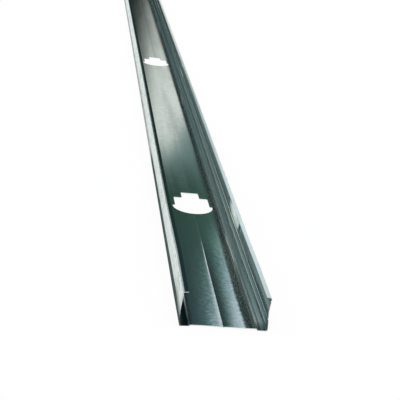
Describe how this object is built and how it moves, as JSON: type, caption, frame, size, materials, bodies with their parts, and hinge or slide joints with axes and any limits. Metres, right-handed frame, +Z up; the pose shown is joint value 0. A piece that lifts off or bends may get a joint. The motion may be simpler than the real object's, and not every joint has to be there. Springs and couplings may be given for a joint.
{
  "type": "drywall metal stud",
  "caption": "Roll-formed C-section steel stud with a raised web, a centre bead, stepped service holes, grooved flanges and turned-in lips.",
  "frame": {"origin": "middle of the length and of the web's width, on the plane that the web rests on", "axes": "+X across the web, +Y along the stud away from the lead end, +Z up the flanges to the open side"},
  "size_m": [0.0636, 2.438, 0.027],
  "materials": {
    "galvanised_strip": "hot-dip galvanised strip, cool grey, lightly brushed along the web, half gloss"
  },
  "bodies": {
    "root": {"stud": "galvanised_strip"}
  },
  "joints": []
}
